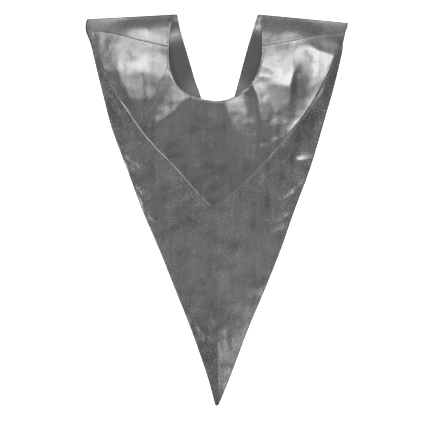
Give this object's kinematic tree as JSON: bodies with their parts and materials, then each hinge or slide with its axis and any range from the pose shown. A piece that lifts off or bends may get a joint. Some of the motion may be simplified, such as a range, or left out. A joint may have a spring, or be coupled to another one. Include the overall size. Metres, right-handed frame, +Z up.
{
  "type": "choir stole",
  "caption": "V-shaped choir stole in plain grey satin, laid flat front side up: long pointed front panel, short pointed overlay and a back band folded over both shoulders",
  "frame": {"origin": "centre of the bounding box in plan, at the surface the stole lies on", "axes": "+Z up off the surface, +Y toward the neck so the tip of the front points to -Y, +X to the viewer's right when looking down with the neck at the top"},
  "size_m": [0.5622, 0.84, 0.0077],
  "materials": {
    "satin_panel": "satin weave, soft vertical sheen",
    "satin_overlay": "satin weave, soft vertical sheen",
    "satin_back": "satin weave, soft vertical sheen"
  },
  "bodies": {
    "root": {"front_panel": "satin_panel", "front_overlay": "satin_overlay", "back": "satin_back"}
  },
  "joints": []
}
